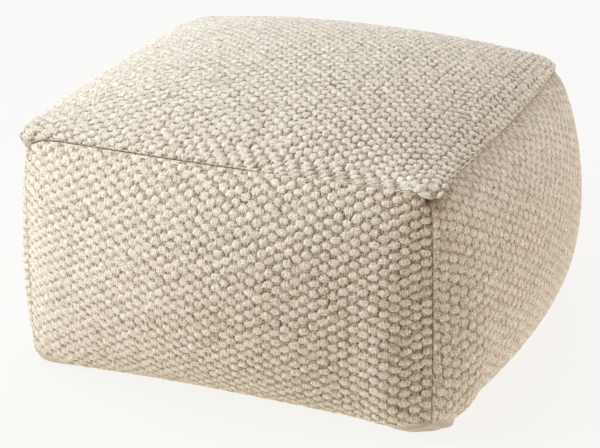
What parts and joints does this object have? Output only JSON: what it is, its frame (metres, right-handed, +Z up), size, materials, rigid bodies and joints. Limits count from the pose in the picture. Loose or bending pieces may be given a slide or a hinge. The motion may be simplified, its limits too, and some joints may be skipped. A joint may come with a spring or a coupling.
{
  "type": "woven wool pouf",
  "caption": "Square stuffed floor pouf with a domed top, full sides and a chunky basket-like wool weave, closed underneath with plain cotton cloth.",
  "frame": {"origin": "on the floor, under the middle of the pouf's box", "axes": "+Z up, the front panel faces -Y, the right panel faces +X"},
  "size_m": [0.6812, 0.6796, 0.3825],
  "materials": {
    "woven_wool": "thick undyed wool yarn in a plain weave, rounded floats with fine fibres, matt",
    "base_cotton": "plain unbleached cotton cloth, matt"
  },
  "bodies": {
    "root": {"top_panel": "woven_wool", "front_panel": "woven_wool", "right_panel": "woven_wool", "back_panel": "woven_wool", "left_panel": "woven_wool", "base_panel": "base_cotton"}
  },
  "joints": []
}
